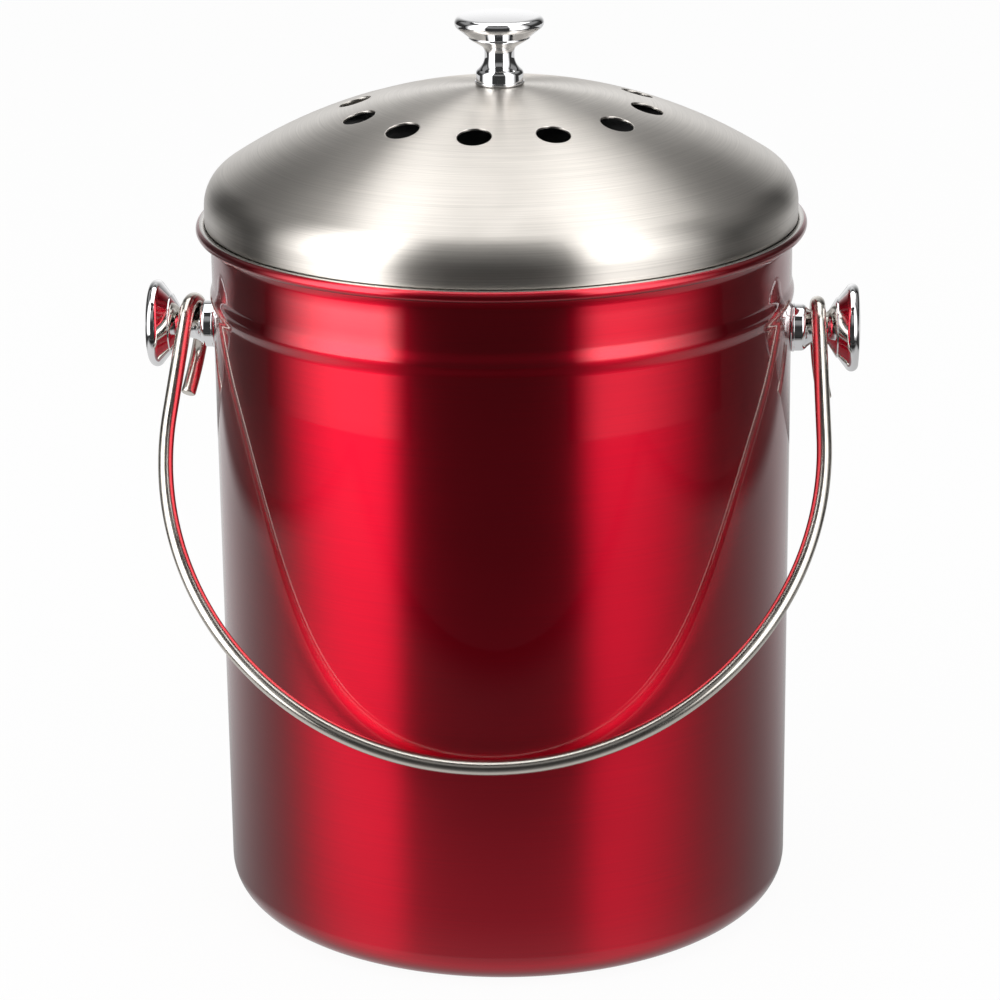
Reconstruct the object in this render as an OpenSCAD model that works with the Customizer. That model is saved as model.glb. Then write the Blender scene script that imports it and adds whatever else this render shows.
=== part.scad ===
// Countertop compost caddy: a drawn steel bucket with a rolled rim, a lift-off domed lid
// that holds a charcoal filter, and a wire bail that swings on two knobs.
// Millimetres, +Z up, front is -Y, origin at the middle of the underside of the base.

/* [Bucket] */
// Outside diameter of the straight wall
body_d = 178; // [150:1:220]
// Height of the crest of the rolled rim above the base
body_h = 218.2; // [170:0.1:260]
// Thickness of the bucket's sheet
wall = 0.8; // [0.6:0.1:1.2]
// Outside radius of the corner between the wall and the base
corner_r = 10.3; // [6:0.1:16]

/* [Rim] */
// How far the rolled rim stands out past the wall
rim_out = 4.4; // [3.8:0.1:6]
// Outside radius of the roll's own tube
roll_r = 1.75; // [1.4:0.05:2]
// Height over which the wall flares out to the roll
flare_h = 4.2; // [3:0.1:8]
// Width of the open slit where the roll's edge turns back to the flare
roll_slit = 0.6; // [0.4:0.1:1]

/* [Bead] */
// Height of the raised bead round the wall
bead_h = 8; // [5:0.5:12]
// How far the bead stands out past the wall
bead_out = 0.75; // [0.4:0.05:1.2]
// Depth of the bead's crest below the crest of the rim
bead_drop = 22.7; // [17:0.1:27]

/* [Lid] */
// Thickness of the lid's sheet
lid_t = 0.8; // [0.6:0.1:1.2]
// Height of the lid's crown above its own edge
lid_rise = 40.6; // [32:0.1:50]
// Outside radius of the lid's rounded shoulder
shoulder_r = 12.05; // [8:0.05:15]
// Height of the upright edge below the shoulder
lid_skirt = 5.1; // [3:0.1:9]
// How far the lid's outer face lies inside the crest of the rolled rim
lid_inset = 1; // [0.5:0.1:1.2]
// Air left between the lid's edge and the rolled rim
seat_gap = 0.3; // [0.2:0.05:0.5]

/* [Vents] */
// Number of vent holes
vent_count = 12; // [6:1:16]
// Diameter of each vent hole
vent_d = 10.1; // [5:0.1:12]
// Radius of the ring of vent holes
vent_ring_r = 45; // [38:0.5:52]
// Turn of the first vent hole from the front toward the right
vent_turn = 24; // [0:1:60]

/* [Locating ring] */
// Thickness of the ring under the lid that drops into the bucket's mouth
ring_t = 0.8; // [0.6:0.1:1.2]
// Gap between the locating ring and the inside of the bucket
ring_gap = 0.7; // [0.5:0.1:1.5]
// Depth that the ring reaches below the crest of the rim
ring_reach = 12; // [8:0.5:16]
// Width of the lip turned in at the ring's lower edge
ring_lip = 3; // [1.5:0.1:5]

/* [Filter] */
// Diameter of the charcoal filter
filter_d = 124; // [112:1:136]
// Thickness of the charcoal filter
filter_t = 10; // [6:0.5:12]
// Gap between the filter's top edge and the dome
filter_gap = 0.3; // [0.1:0.1:1]
// Thickness of the retainer's grille and wall
retainer_t = 1.6; // [1.2:0.1:2.4]
// Height of the retainer's wall round the filter
retainer_h = 6; // [4:0.5:8]
// Gap between the filter and the retainer's wall
retainer_gap = 0.4; // [0.2:0.1:1]
// Diameter of the holes in the retainer
grille_d = 9; // [6:0.5:10]
// Distance between neighbouring rings of retainer holes
grille_pitch = 13; // [12:0.5:16]
// Thickness of the spring clips that carry the retainer
clip_t = 0.8; // [0.6:0.1:1.2]
// Width of each spring clip
clip_w = 12; // [8:1:16]
// Number of spring clips
clip_count = 3; // [3:1:6]
// How far each clip's hook reaches under the retainer
clip_hook = 3.5; // [2:0.5:5]
// Gap between a clip and the retainer
clip_gap = 0.2; // [0.1:0.1:0.5]

/* [Knobs] */
// Largest diameter of a knob
knob_d = 27; // [23:0.5:32]
// Height of a knob from its foot to the top of its crown
knob_h = 21.1; // [20.5:0.1:26]
// Thickness of the knob's rounded edge
knob_edge_h = 4; // [3.6:0.1:4.2]
// Height of the crown above the rounded edge
knob_crown = 0.6; // [0.4:0.05:1.2]
// Diameter of the knob's neck
neck_d = 9; // [8:0.1:10]
// Height of the start of the neck above the foot
neck_at = 8.5; // [7.8:0.1:9]
// Height of the straight part of the neck
neck_h = 1.2; // [0.8:0.1:1.6]
// Diameter of the foot flange
foot_d = 15; // [14:0.1:17]
// Height of the foot flange
foot_h = 0.9; // [0.5:0.1:1.5]
// How far the foot flange stands out past the base
foot_out = 0.3; // [0.1:0.05:0.5]
// Height of the straight base
base_h = 3; // [2:0.1:3.5]
// Radius of the base's rounded shoulder
base_round = 1.8; // [1.2:0.1:2.2]
// Radius of the cove above the neck
flare_r = 2.2; // [2:0.1:2.8]
// Angle of the flared cone from the knob's axis
flare_angle = 59; // [56:1:61]
// Diameter of the step ring under the cap
step_d = 18.6; // [18:0.1:20]
// Height of the step ring's own edge
step_h = 0.3; // [0.2:0.05:0.6]
// Depth of the groove above the step ring
step_in = 0.2; // [0.1:0.05:0.4]
// Depth of the side knobs' axis below the crest of the rim
pivot_drop = 35.3; // [35:0.1:70]
// Gap between a side knob's foot and the wall
knob_gap = 0.05; // [0.02:0.01:0.1]

/* [Fasteners] */
// Diameter of the screws that hold the side knobs
side_screw_d = 3.5; // [3:0.5:5]
// Diameter of the screw that holds the lid knob
lid_screw_d = 5; // [4:0.5:5]
// Depth of a screw in its knob
screw_depth = 9; // [7:0.5:11]
// Radial clearance of a screw in its knob
thread_gap = 0.05; // [0.02:0.01:0.1]
// Radial clearance of a screw in a sheet, a washer or a lock washer
hole_gap = 0.2; // [0.1:0.05:0.4]
// Thickness of the plain washers
washer_t = 1; // [0.8:0.1:1.5]
// Thickness of the split lock washers
lock_t = 1.1; // [0.8:0.1:1.5]
// Width of the split in a lock washer
lock_split = 1; // [0.6:0.1:1.5]
// Gap between stacked fastener faces
stack_gap = 0.02; // [0.01:0.01:0.05]

/* [Bail] */
// Diameter of the bail's wire
wire_d = 4.6; // [3.6:0.1:5]
// Depth of the bow's centre below the pivot axis, measured in the bail's plane
bail_drop = 44.2; // [30:0.1:52]
// Shift of the bail's legs past the middle of the knobs' necks
hook_out = 0.5; // [0:0.1:0.8]
// Gap between the resting bail and the wall
rest_gap = 0.3; // [0.2:0.05:0.6]
// Centreline radius of the hooks that hang on the side knobs
hook_r = 8.6; // [8.5:0.1:9.4]
// Shift of a hook's centre behind the pivot axis
hook_back = 1.1; // [0.8:0.1:1.2]
// Drop of a hook's centre below the pivot axis
hook_low = 0.85; // [0.6:0.05:0.9]
// Inward turn of the left hook about its leg
left_turn = 15; // [10:1:16]
// Outward turn of the right hook about its leg
right_turn = 0; // [0:1:4]
// Radius of the left tail's outward curve
left_curve = 64; // [50:2:120]
// Radius of the right tail's outward curve
right_curve = 130; // [60:5:180]
// Length of the tail that hangs behind each knob
tail_len = 19; // [10:0.5:22]

/* [Hidden] */
$fn = 96;

// Cutters run this far past the faces that they cut
over = 1;
// Steps along the longest arc of a turned profile
arc_steps = 12;
// Angle from the base's bottom where the cap's rounded edge starts and ends
edge_from = -60;
edge_to = 80;

body_r = body_d / 2;
inside_r = body_r - wall;

// The roll is a tube of sheet whose centre lies at [roll_x, roll_z]
roll_x = body_r + rim_out - roll_r;
roll_z = body_h - roll_r;

// The bead's face is an arc through the wall above and below its crest
bead_z = body_h - bead_drop;
bead_arc_r = (pow(bead_h / 2, 2) + pow(bead_out, 2)) / (2 * bead_out);
bead_arc_x = body_r + bead_out - bead_arc_r;

// The lid's edge hangs over the roll at seat_gap; its crown and shoulder are tangent arcs
lid_r = roll_x - lid_inset;
lid_z = roll_z + sqrt(pow(roll_r + seat_gap, 2) - pow(lid_inset, 2));
lid_top = lid_z + lid_rise;
shoulder_x = lid_r - shoulder_r;
shoulder_z = lid_z + lid_skirt;
crown_rise = lid_top - shoulder_z;
crown_r = (pow(shoulder_x, 2) + pow(crown_rise, 2) - pow(shoulder_r, 2))
          / (2 * (crown_rise - shoulder_r));
crown_z = lid_top - crown_r;
dome_inner_r = crown_r - lid_t;

// Locating ring
ring_r = inside_r - ring_gap;
ring_z = body_h - ring_reach;

// Filter stack, from the dome down
filter_r = filter_d / 2;
filter_top = crown_z + sqrt(pow(dome_inner_r, 2) - pow(filter_r, 2)) - filter_gap;
filter_z = filter_top - filter_t;
retainer_in_r = filter_r + retainer_gap;
retainer_r = retainer_in_r + retainer_t;
retainer_z = filter_z - retainer_t;
grille_rings = floor((filter_r - grille_d / 2 - retainer_t) / grille_pitch);
clip_in = retainer_r + clip_gap;
clip_z = retainer_z - clip_gap - clip_t;

// Knob profile, radius against height
neck_r = neck_d / 2;
base_r = foot_d / 2 - foot_out;
base_x = base_r - base_round;
cove_r = (pow(neck_at - base_h, 2) + pow(base_x - neck_r, 2) - pow(base_round, 2))
         / (2 * (base_round + base_x - neck_r));
cove_x = neck_r + cove_r;
cove_angle = atan2(neck_at - base_h, cove_x - base_x);
neck_top = neck_at + neck_h;
cone_x = neck_r + flare_r * (1 - cos(flare_angle));
cone_z = neck_top + flare_r * sin(flare_angle);
step_r = step_d / 2;
step_z = cone_z + (step_r - cone_x) / tan(flare_angle);
edge_r = knob_edge_h / 2;
edge_x = knob_d / 2 - edge_r;
edge_z = knob_h - knob_crown - edge_r * sin(edge_to);
crown_x = edge_x + edge_r * cos(edge_to);
cap_r = (pow(crown_x, 2) + pow(knob_crown, 2)) / (2 * knob_crown);
cap_angle = asin(crown_x / cap_r);

// Screw heads, washers and the places where they seat
head_ratio = 1.9;
head_h_ratio = 0.6;
washer_ratio = 2.4;
lock_ratio = 1.8;
drive_ratio = 0.9;
drive_w_ratio = 0.22;
drive_depth_ratio = 0.35;
knob_x = body_r + knob_gap;
pivot_z = body_h - pivot_drop;
side_washer_x = sqrt(pow(inside_r, 2) - pow(side_screw_d * washer_ratio / 2, 2)) - stack_gap;
lid_washer_z = crown_z + sqrt(pow(dome_inner_r, 2) - pow(lid_screw_d * washer_ratio / 2, 2))
               - stack_gap;

// Bail: the legs stand beside the necks, and the bow between them is a half ring
wire_r = wire_d / 2;
hook_x = knob_x + neck_at + neck_h / 2 + hook_out;
leg_y = hook_back - hook_r;
leg_len = bail_drop - hook_low;
bail_reach = bail_drop + hook_x;
bail_lean = asin((body_r + wire_r + rest_gap) / norm([bail_reach, leg_y]))
            - atan(-leg_y / bail_reach);

// Points along an arc of radius r round [x, y] from angle a to angle b
function arc(x, y, r, a, b, n = arc_steps) =
    [for (i = [0 : n]) [x + r * cos(a + (b - a) * i / n), y + r * sin(a + (b - a) * i / n)]];

// Section of the straight wall, the rounded corner and the base
module pot_section(inset) {
    r = body_r - inset;
    c = corner_r - inset;
    translate([0, corner_r]) square([r, roll_z - corner_r]);
    translate([0, inset]) square([r - c, corner_r]);
    intersection() {
        translate([r - c, corner_r]) circle(c);
        translate([0, inset]) square([r, corner_r]);
    }
}

// Lens that bulges past the wall at the bead
module bead_section(inset) {
    intersection() {
        translate([bead_arc_x, bead_z]) circle(bead_arc_r - inset);
        translate([inside_r - inset, bead_z - bead_h]) square([bead_h, 2 * bead_h]);
    }
}

// Section of the flare that leads the sheet out to the roll
module flare_section() {
    low = roll_z - flare_h;
    out = roll_x - roll_r;
    polygon([[inside_r, low], [body_r, low], [out + wall, roll_z], [out, roll_z]]);
}

// Section of the rolled edge: a tube of sheet with a slit under the flare
module roll_section() {
    translate([roll_x, roll_z]) difference() {
        circle(roll_r);
        circle(roll_r - wall);
        rotate(-135) translate([0, -roll_slit / 2]) square([roll_r + over, roll_slit]);
    }
}

module bucket() {
    low = roll_z - flare_h;
    color("firebrick") difference() {
        rotate_extrude() {
            difference() {
                union() {
                    intersection() {
                        pot_section(0);
                        square([body_r, low]);
                    }
                    bead_section(0);
                }
                intersection() {
                    pot_section(wall);
                    square([inside_r, low + over]);
                }
                bead_section(wall);
            }
            flare_section();
            roll_section();
        }
        for (side = [-1, 1])
            translate([side * (body_r - corner_r), 0, pivot_z]) rotate([0, 90 * side, 0])
                cylinder(r = side_screw_d / 2 + hole_gap, h = 2 * corner_r);
    }
}

// Region under the lid's outer face, moved in by the inset
module lid_section(inset) {
    reach = crown_r + over;
    tilt = atan2(shoulder_z - crown_z, shoulder_x);
    intersection() {
        union() {
            intersection() {
                translate([0, crown_z]) circle(crown_r - inset);
                translate([0, crown_z]) polygon([[0, 0], [reach * cos(tilt), reach * sin(tilt)],
                                                 [reach, reach], [0, reach]]);
            }
            translate([shoulder_x, shoulder_z]) circle(shoulder_r - inset);
            translate([0, ring_z - over]) square([lid_r - inset, shoulder_z - ring_z + over]);
        }
        translate([0, ring_z - over]) square([body_d, reach]);
    }
}

module lid_shell() {
    lean = asin(vent_ring_r / crown_r);
    color("lightgray") difference() {
        rotate_extrude() difference() {
            lid_section(0);
            lid_section(lid_t);
            square([body_d, lid_z]);
        }
        for (i = [0 : vent_count - 1])
            rotate([0, 0, vent_turn - 90 + i * 360 / vent_count]) translate([0, 0, crown_z])
                rotate([0, lean, 0]) translate([0, 0, dome_inner_r - over])
                    cylinder(d = vent_d, h = lid_t + 2 * over);
        translate([0, 0, lid_top - lid_t - over])
            cylinder(r = lid_screw_d / 2 + hole_gap, h = lid_t + 2 * over);
    }
}

module lid_ring() {
    color("silver") rotate_extrude() intersection() {
        union() {
            translate([ring_r - ring_t, ring_z]) square([ring_t, lid_top - ring_z]);
            translate([ring_r - ring_lip, ring_z]) square([ring_lip, ring_t]);
        }
        lid_section(lid_t);
    }
}

// One turned knob, standing on its foot, with a blind hole for its screw
module knob(screw_d) {
    color("gainsboro") difference() {
        rotate_extrude() polygon(concat(
            [[0, 0], [foot_d / 2, 0], [foot_d / 2, foot_h], [base_r, foot_h]],
            arc(base_x, base_h, base_round, 0, cove_angle),
            arc(cove_x, neck_at, cove_r, 180 + cove_angle, 180),
            arc(neck_r + flare_r, neck_top, flare_r, 180, 180 - flare_angle),
            [[step_r, step_z], [step_r, step_z + step_h], [step_r - step_in, step_z + step_h]],
            arc(edge_x, edge_z, edge_r, edge_from, edge_to),
            arc(0, knob_h - cap_r, cap_r, 90 - cap_angle, 90)));
        translate([0, 0, -over])
            cylinder(r = screw_d / 2 + thread_gap, h = screw_depth + 2 * over);
    }
}

// Pan-head screw with a cross recess: its head's top face is at 0 and its shank runs up
module screw(d, grip) {
    head_h = d * head_h_ratio;
    color("darkgray") difference() {
        union() {
            cylinder(d = d * head_ratio, h = head_h);
            cylinder(d = d, h = head_h + grip + screw_depth);
        }
        for (a = [0, 90])
            rotate([0, 0, a]) translate([-d * drive_ratio / 2, -d * drive_w_ratio / 2, -over])
                cube([d * drive_ratio, d * drive_w_ratio, over + d * drive_depth_ratio]);
    }
}

module washer(d) {
    color("silver") difference() {
        cylinder(d = d * washer_ratio, h = washer_t);
        translate([0, 0, -over]) cylinder(r = d / 2 + hole_gap, h = washer_t + 2 * over);
    }
}

module lock_washer(d) {
    color("dimgray") difference() {
        cylinder(d = d * lock_ratio, h = lock_t);
        translate([0, 0, -over]) cylinder(r = d / 2 + hole_gap, h = lock_t + 2 * over);
        translate([0, -lock_split / 2, -over])
            cube([d * lock_ratio, lock_split, lock_t + 2 * over]);
    }
}

module lid_knob() {
    translate([0, 0, lid_top + knob_gap]) knob(lid_screw_d);
}

module lid_knob_washer() {
    translate([0, 0, lid_washer_z - washer_t]) washer(lid_screw_d);
}

module lid_knob_lock_washer() {
    translate([0, 0, lid_washer_z - washer_t - stack_gap - lock_t]) lock_washer(lid_screw_d);
}

module lid_knob_screw() {
    seat = lid_washer_z - washer_t - lock_t - 2 * stack_gap;
    translate([0, 0, seat - lid_screw_d * head_h_ratio])
        screw(lid_screw_d, lid_top + knob_gap - seat);
}

module charcoal_filter() {
    color("black") translate([0, 0, filter_z]) cylinder(r = filter_r, h = filter_t);
}

module filter_retainer() {
    color("#2b2b2b") difference() {
        translate([0, 0, retainer_z]) cylinder(r = retainer_r, h = retainer_h);
        translate([0, 0, filter_z]) cylinder(r = retainer_in_r, h = retainer_h);
        for (ring = [1 : grille_rings])
            for (i = [0 : 6 * ring - 1])
                rotate([0, 0, i * 60 / ring])
                    translate([ring * grille_pitch, 0, retainer_z - over])
                        cylinder(d = grille_d, h = retainer_t + 2 * over);
    }
}

module filter_clips() {
    color("silver") for (i = [0 : clip_count - 1])
        rotate([0, 0, i * 360 / clip_count]) intersection() {
            translate([0, -clip_w / 2, 0]) union() {
                translate([clip_in, 0, clip_z]) cube([clip_t, clip_w, lid_top - clip_z]);
                translate([clip_in - clip_hook, 0, clip_z])
                    cube([clip_hook + clip_t, clip_w, clip_t]);
            }
            rotate_extrude() lid_section(lid_t);
        }
}

// Part of a ring of wire in the X-Z plane, from +X toward +Z
module wire_arc(r, angle) {
    rotate([90, 0, 0]) rotate_extrude(angle = angle) translate([r, 0]) circle(wire_r);
}

// One leg, its hook over the knob's neck and its gently curved tail, for the right side
module leg(turn, curve) {
    translate([hook_x, 0, 0]) cylinder(r = wire_r, h = leg_len);
    translate([hook_x, 0, leg_len]) rotate([0, 0, turn]) {
        translate([0, hook_r, 0]) rotate([0, 0, 90]) wire_arc(hook_r, 180);
        translate([curve, 2 * hook_r, 0]) rotate([0, 180, 0])
            wire_arc(curve, tail_len / curve * 180 / PI);
    }
}

module bail_handle() {
    color("silver") translate([0, 0, pivot_z]) rotate([-bail_lean, 0, 0])
        translate([0, leg_y, -bail_drop]) {
            mirror([0, 0, 1]) wire_arc(hook_x, 180);
            leg(-right_turn, right_curve);
            mirror([1, 0, 0]) leg(left_turn, left_curve);
        }
}

// Places a fastener part that is drawn along +Z on the pivot axis of one side
module on_side(side, x) {
    translate([side * x, 0, pivot_z]) rotate([0, 90 * side, 0]) children();
}

module side_knob(side) {
    on_side(side, knob_x) knob(side_screw_d);
}

module side_washer(side) {
    on_side(side, side_washer_x - washer_t) washer(side_screw_d);
}

module side_lock_washer(side) {
    on_side(side, side_washer_x - washer_t - stack_gap - lock_t) lock_washer(side_screw_d);
}

module side_screw(side) {
    seat = side_washer_x - washer_t - lock_t - 2 * stack_gap;
    on_side(side, seat - side_screw_d * head_h_ratio) screw(side_screw_d, knob_x - seat);
}

bucket();
lid_shell();
lid_ring();
lid_knob();
lid_knob_screw();
lid_knob_washer();
lid_knob_lock_washer();
charcoal_filter();
filter_retainer();
filter_clips();
bail_handle();
side_knob(-1);  // left_pivot_knob
side_screw(-1);  // left_pivot_screw
side_washer(-1);  // left_pivot_washer
side_lock_washer(-1);  // left_lock_washer
side_knob(1);  // right_pivot_knob
side_screw(1);  // right_pivot_screw
side_washer(1);  // right_pivot_washer
side_lock_washer(1);  // right_lock_washer
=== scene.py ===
import math

import bmesh
import bpy
from mathutils import Matrix, Vector


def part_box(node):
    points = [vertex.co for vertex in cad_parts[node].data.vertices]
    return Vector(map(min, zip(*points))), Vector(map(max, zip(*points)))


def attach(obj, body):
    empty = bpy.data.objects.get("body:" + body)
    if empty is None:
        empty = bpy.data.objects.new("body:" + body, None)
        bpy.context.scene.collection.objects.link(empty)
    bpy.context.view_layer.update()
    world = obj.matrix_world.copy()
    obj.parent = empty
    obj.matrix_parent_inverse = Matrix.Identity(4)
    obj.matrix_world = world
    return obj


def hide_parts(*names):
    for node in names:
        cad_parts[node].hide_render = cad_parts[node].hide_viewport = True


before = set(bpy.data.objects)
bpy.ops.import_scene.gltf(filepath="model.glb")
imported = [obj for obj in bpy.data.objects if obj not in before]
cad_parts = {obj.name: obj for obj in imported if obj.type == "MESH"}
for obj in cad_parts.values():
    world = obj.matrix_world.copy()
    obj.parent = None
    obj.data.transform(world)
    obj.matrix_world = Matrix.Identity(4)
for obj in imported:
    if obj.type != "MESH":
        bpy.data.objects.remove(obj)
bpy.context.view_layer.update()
mm = 0.001
weldGap = 1e-6
print("stage 1: frame loaded")


# Adds a node with its properties; an input is a value or a socket to link
def addNode(tree, kind, inputs=None, **settings):
    item = tree.nodes.new(kind)
    for key, value in settings.items():
        setattr(item, key, value)
    for key, value in (inputs or {}).items():
        socket = item.inputs[key]
        if isinstance(value, bpy.types.NodeSocket):
            tree.links.new(value, socket)
        else:
            socket.default_value = value
    return item


def addMath(tree, operation, first, second=0.0, clamp=False):
    item = addNode(tree, "ShaderNodeMath", {0: first, 1: second}, operation=operation)
    item.use_clamp = clamp
    return item.outputs[0]


def addVectorMath(tree, operation, first, second=(0.0, 0.0, 0.0)):
    item = addNode(tree, "ShaderNodeVectorMath", {0: first, 1: second}, operation=operation)
    return item.outputs[0]


def meshFrom(name, points, faces=(), edges=()):
    mesh = bpy.data.meshes.new(name)
    mesh.from_pydata([tuple(p) for p in points], list(edges), [tuple(f) for f in faces])
    mesh.update()
    return mesh


def addObject(name, mesh):
    item = bpy.data.objects.new(name, mesh)
    bpy.context.scene.collection.objects.link(item)
    return item


def socketName(tree, label):
    return next(s.identifier for s in tree.interface.items_tree
                if s.name == label and s.in_out == "INPUT")


# Runs a node tree on a source mesh and gives the finished mesh back as one object
def bakeTree(name, source, tree, settings, sharpAngle):
    carrier = addObject(name + "Source", source)
    modifier = carrier.modifiers.new("build", "NODES")
    modifier.node_group = tree
    for label, value in settings.items():
        modifier[socketName(tree, label)] = value
    bpy.context.view_layer.update()
    depsgraph = bpy.context.evaluated_depsgraph_get()
    mesh = bpy.data.meshes.new_from_object(
        carrier.evaluated_get(depsgraph), preserve_all_data_layers=True, depsgraph=depsgraph)
    bpy.data.objects.remove(carrier)
    mesh.name = name
    shell = bmesh.new()
    shell.from_mesh(mesh)
    bmesh.ops.remove_doubles(shell, verts=shell.verts, dist=weldGap)
    bmesh.ops.recalc_face_normals(shell, faces=shell.faces)
    shell.to_mesh(mesh)
    shell.free()
    mesh.set_sharp_from_angle(angle=math.radians(sharpAngle))
    return addObject(name, mesh)


# Points (radius, height) along an arc, angles in degrees
def arc(x, z, radius, start, end, steps):
    turns = [math.radians(start + (end - start) * i / steps) for i in range(steps + 1)]
    return [(x + radius * math.cos(t), z + radius * math.sin(t)) for t in turns]


def lineTo(start, end, steps):
    return [(start[0] + (end[0] - start[0]) * i / steps, start[1] + (end[1] - start[1]) * i / steps)
            for i in range(1, steps + 1)]


def distinct(points, gap=1e-7):
    kept = [points[0]]
    for point in points[1:]:
        if math.dist(point, kept[-1]) > gap:
            kept.append(point)
    return kept


# A profile is a row of points; those from insideFrom on belong to the inner skin
def profileMesh(name, points, insideFrom=None):
    mesh = meshFrom(name, [(x, 0.0, z) for x, z in points],
                    edges=[(i, i + 1) for i in range(len(points) - 1)])
    inside = mesh.attributes.new("inside", "FLOAT", "POINT")
    for i in range(len(points)):
        inside.data[i].value = 1.0 if insideFrom is not None and i >= insideFrom else 0.0
    return mesh


# A node group with the named inputs and one shape as output, given with its input sockets
def newTree(name, sockets):
    tree = bpy.data.node_groups.new(name, "GeometryNodeTree")
    for label, kind in sockets.items():
        tree.interface.new_socket(label, in_out="INPUT", socket_type="NodeSocket" + kind)
    tree.interface.new_socket("Shape", in_out="OUTPUT", socket_type="NodeSocketGeometry")
    return tree, addNode(tree, "NodeGroupInput").outputs


def namedAttribute(tree, name):
    item = addNode(tree, "GeometryNodeInputNamedAttribute", {"Name": name}, data_type="FLOAT")
    return item.outputs["Attribute"]


def storeAttribute(tree, geometry, name, value, kind="FLOAT"):
    return addNode(tree, "GeometryNodeStoreNamedAttribute", {
        "Geometry": geometry, "Name": name, "Value": value}, data_type=kind, domain="POINT").outputs[0]


def sampleIndex(tree, geometry, value, index, kind="FLOAT"):
    return addNode(tree, "GeometryNodeSampleIndex", {
        "Geometry": geometry, "Value": value, "Index": index}, data_type=kind).outputs[0]


def mergeNear(tree, geometry, distance):
    return addNode(tree, "GeometryNodeMergeByDistance", {
        "Geometry": geometry, "Distance": distance}).outputs[0]


# Shades a shape smooth, realises it and gives it one material
def paintedShape(tree, geometry, material):
    smooth = addNode(tree, "GeometryNodeSetShadeSmooth", {"Geometry": geometry})
    real = addNode(tree, "GeometryNodeRealizeInstances", {"Geometry": smooth.outputs[0]})
    return addNode(tree, "GeometryNodeSetMaterial", {
        "Geometry": real.outputs[0], "Material": material}).outputs[0]


# Geometry Nodes: turns a profile round Z, outer and inner skin with their own materials
def makeTurnedTree():
    tree, given = newTree("turnedShape", {"Profile": "Geometry", "Steps Around": "Int",
                                          "Outer Material": "Material", "Inner Material": "Material"})
    profile = given["Profile"]
    steps = given["Steps Around"]
    size = addNode(tree, "GeometryNodeAttributeDomainSize", {"Geometry": profile}, component="MESH")
    columns = addMath(tree, "ADD", steps, 1.0)
    grid = addNode(tree, "GeometryNodeMeshGrid", {
        "Size X": 1.0, "Size Y": 1.0, "Vertices X": size.outputs["Point Count"], "Vertices Y": columns})
    index = addNode(tree, "GeometryNodeInputIndex").outputs["Index"]
    row = addMath(tree, "FLOOR", addMath(tree, "DIVIDE", addMath(tree, "ADD", index, 0.5), columns))
    column = addMath(tree, "SUBTRACT", index, addMath(tree, "MULTIPLY", row, columns))
    place = addNode(tree, "GeometryNodeInputPosition").outputs["Position"]
    picked = sampleIndex(tree, profile, place, row, "FLOAT_VECTOR")
    inside = namedAttribute(tree, "inside")
    skin = sampleIndex(tree, profile, inside, row)
    split = addNode(tree, "ShaderNodeSeparateXYZ", {"Vector": picked})
    turn = addMath(tree, "MULTIPLY", addMath(tree, "DIVIDE", column, steps), 2 * math.pi)
    spot = addNode(tree, "ShaderNodeCombineXYZ", {
        "X": addMath(tree, "MULTIPLY", split.outputs["X"], addMath(tree, "COSINE", turn)),
        "Y": addMath(tree, "MULTIPLY", split.outputs["X"], addMath(tree, "SINE", turn)),
        "Z": split.outputs["Z"]})
    moved = addNode(tree, "GeometryNodeSetPosition",
                    {"Geometry": grid.outputs["Mesh"], "Position": spot.outputs[0]})
    stored = storeAttribute(tree, moved.outputs[0], "inside", skin)
    outer = paintedShape(tree, mergeNear(tree, stored, weldGap), given["Outer Material"])
    chosen = addNode(tree, "FunctionNodeCompare", {"A": inside, "B": 0.99},
                     data_type="FLOAT", operation="GREATER_THAN")
    inner = addNode(tree, "GeometryNodeSetMaterial", {
        "Geometry": outer, "Selection": chosen.outputs[0], "Material": given["Inner Material"]})
    addNode(tree, "NodeGroupOutput", {"Shape": inner.outputs[0]})
    return tree


# Geometry Nodes: repeats one sector round Z and merges the seams
def makeAroundTree():
    tree, given = newTree("repeatAround", {"Sector": "Geometry", "Count": "Int", "Material": "Material"})
    count = given["Count"]
    points = addNode(tree, "GeometryNodePoints", {"Count": count})
    index = addNode(tree, "GeometryNodeInputIndex").outputs["Index"]
    turn = addMath(tree, "MULTIPLY", addMath(tree, "DIVIDE", index, count), 2 * math.pi)
    spin = addNode(tree, "ShaderNodeCombineXYZ", {"Z": turn})
    placed = addNode(tree, "GeometryNodeInstanceOnPoints", {
        "Points": points.outputs[0], "Instance": given["Sector"], "Rotation": spin.outputs[0]})
    real = addNode(tree, "GeometryNodeRealizeInstances", {"Geometry": placed.outputs[0]})
    painted = paintedShape(tree, mergeNear(tree, real.outputs[0], 2 * weldGap), given["Material"])
    addNode(tree, "NodeGroupOutput", {"Shape": painted})
    return tree


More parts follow.
